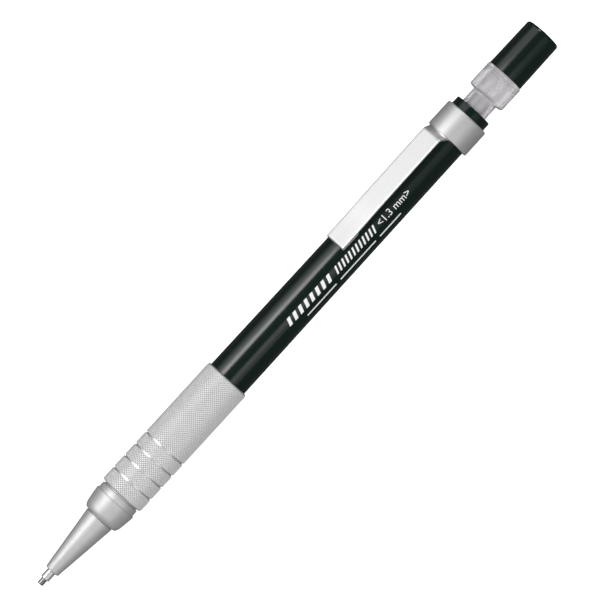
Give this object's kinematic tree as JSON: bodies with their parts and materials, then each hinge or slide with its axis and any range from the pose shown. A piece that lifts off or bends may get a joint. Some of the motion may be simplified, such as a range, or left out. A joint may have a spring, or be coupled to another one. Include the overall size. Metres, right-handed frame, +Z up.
{
  "type": "mechanical pencil",
  "caption": "Mechanical pencil for 1.3 mm lead: turned metal point, knurled grip, tapered gloss barrel, spring ring clip, sprung translucent push knob, pull-off cap, working lead chuck",
  "frame": {"origin": "on the surface the pencil lies on, below its axis at mid length", "axes": "+X along the pencil from the lead's tip to the push cap, +Z up through the clip, Y across; the XZ plane is the mirror plane"},
  "size_m": [0.1466, 0.0098, 0.0105],
  "materials": {
    "graphite": "grey-black lead with a slight sheen",
    "pipe_steel": "polished steel tube",
    "satin_nickel": "satin nickel plating, fine turned grain",
    "plated_brass": "nickel-plated brass",
    "grip_aluminium": "matte clear-anodised aluminium with a fine diamond knurl",
    "dark_plastic": "glossy green-black",
    "clip_steel": "satin stainless steel",
    "clear_plastic": "milky translucent moulding",
    "white_eraser": "matte white",
    "retainer_rubber": "soft black rubber",
    "chuck_brass": "plain machined brass",
    "white_plastic": "natural white moulding",
    "smoke_plastic": "grey translucent tube",
    "spring_steel": "bright spring wire"
  },
  "bodies": {
    "barrel_unit": {"barrel": "dark_plastic", "grip_sleeve": "grip_aluminium", "core_tube": "plated_brass", "nose_collar": "satin_nickel", "tip_cone": "satin_nickel", "guide_pipe": "pipe_steel", "lead_retainer": "retainer_rubber", "chuck_sleeve": "white_plastic", "return_spring": "spring_steel", "clip_ring": "clip_steel"},
    "push_unit": {"knob": "clear_plastic", "eraser": "white_eraser", "lead_tank": "smoke_plastic", "chuck_joint": "white_plastic", "chuck_body": "chuck_brass", "spare_lead_1": "graphite", "spare_lead_2": "graphite", "spare_lead_3": "graphite"},
    "cap_unit": {"cap": "dark_plastic"},
    "clip_unit": {"clip_arm": "clip_steel"},
    "lead_unit": {"lead_core": "graphite"},
    "clutch_unit": {"clutch_ring": "chuck_brass"},
    "jaw_1": {"chuck_jaw_1": "chuck_brass"},
    "jaw_2": {"chuck_jaw_2": "chuck_brass"},
    "jaw_3": {"chuck_jaw_3": "chuck_brass"}
  },
  "joints": [
    {"name": "push", "type": "slide", "parent": "barrel_unit", "child": "push_unit", "axis": [-1, 0, 0], "range_m": [0, 0.003], "stiffness_N_per_m": 600, "springref_m": -0.004, "deforming": ["return_spring"]},
    {"name": "clutch_slide", "type": "slide", "parent": "barrel_unit", "child": "clutch_unit", "axis": [-1, 0, 0], "range_m": [0, 0.0012]},
    {"name": "jaw_1_open", "type": "hinge", "parent": "push_unit", "child": "jaw_1", "pos_m": [-0.04935, 0, 0.00588], "axis": [0, 1, 0], "range_deg": [0, 2]},
    {"name": "jaw_2_open", "type": "hinge", "parent": "push_unit", "child": "jaw_2", "pos_m": [-0.04935, 0.00082, 0.00445], "axis": [0, -0.5, -0.866], "range_deg": [0, 2]},
    {"name": "jaw_3_open", "type": "hinge", "parent": "push_unit", "child": "jaw_3", "pos_m": [-0.04935, -0.00082, 0.00445], "axis": [0, -0.5, 0.866], "range_deg": [0, 2]},
    {"name": "lead_feed", "type": "slide", "parent": "barrel_unit", "child": "lead_unit", "axis": [-1, 0, 0], "range_m": [-0.0014, 0.008]},
    {"name": "cap_pull", "type": "slide", "parent": "push_unit", "child": "cap_unit", "axis": [1, 0, 0], "range_m": [0, 0.012]},
    {"name": "clip_flex", "type": "hinge", "parent": "barrel_unit", "child": "clip_unit", "pos_m": [0.04495, 0, 0.00979], "axis": [0, 1, 0], "range_deg": [0, 5], "stiffness_Nm_per_rad": 1, "springref_deg": -0.57}
  ],
  "couplings": [
    {"joint": "clutch_slide", "follows": "push", "ratio": 0.4},
    {"joint": "jaw_1_open", "follows": "push", "rad_per_m": 11.6},
    {"joint": "jaw_2_open", "follows": "push", "rad_per_m": 11.6},
    {"joint": "jaw_3_open", "follows": "push", "rad_per_m": 11.6}
  ]
}
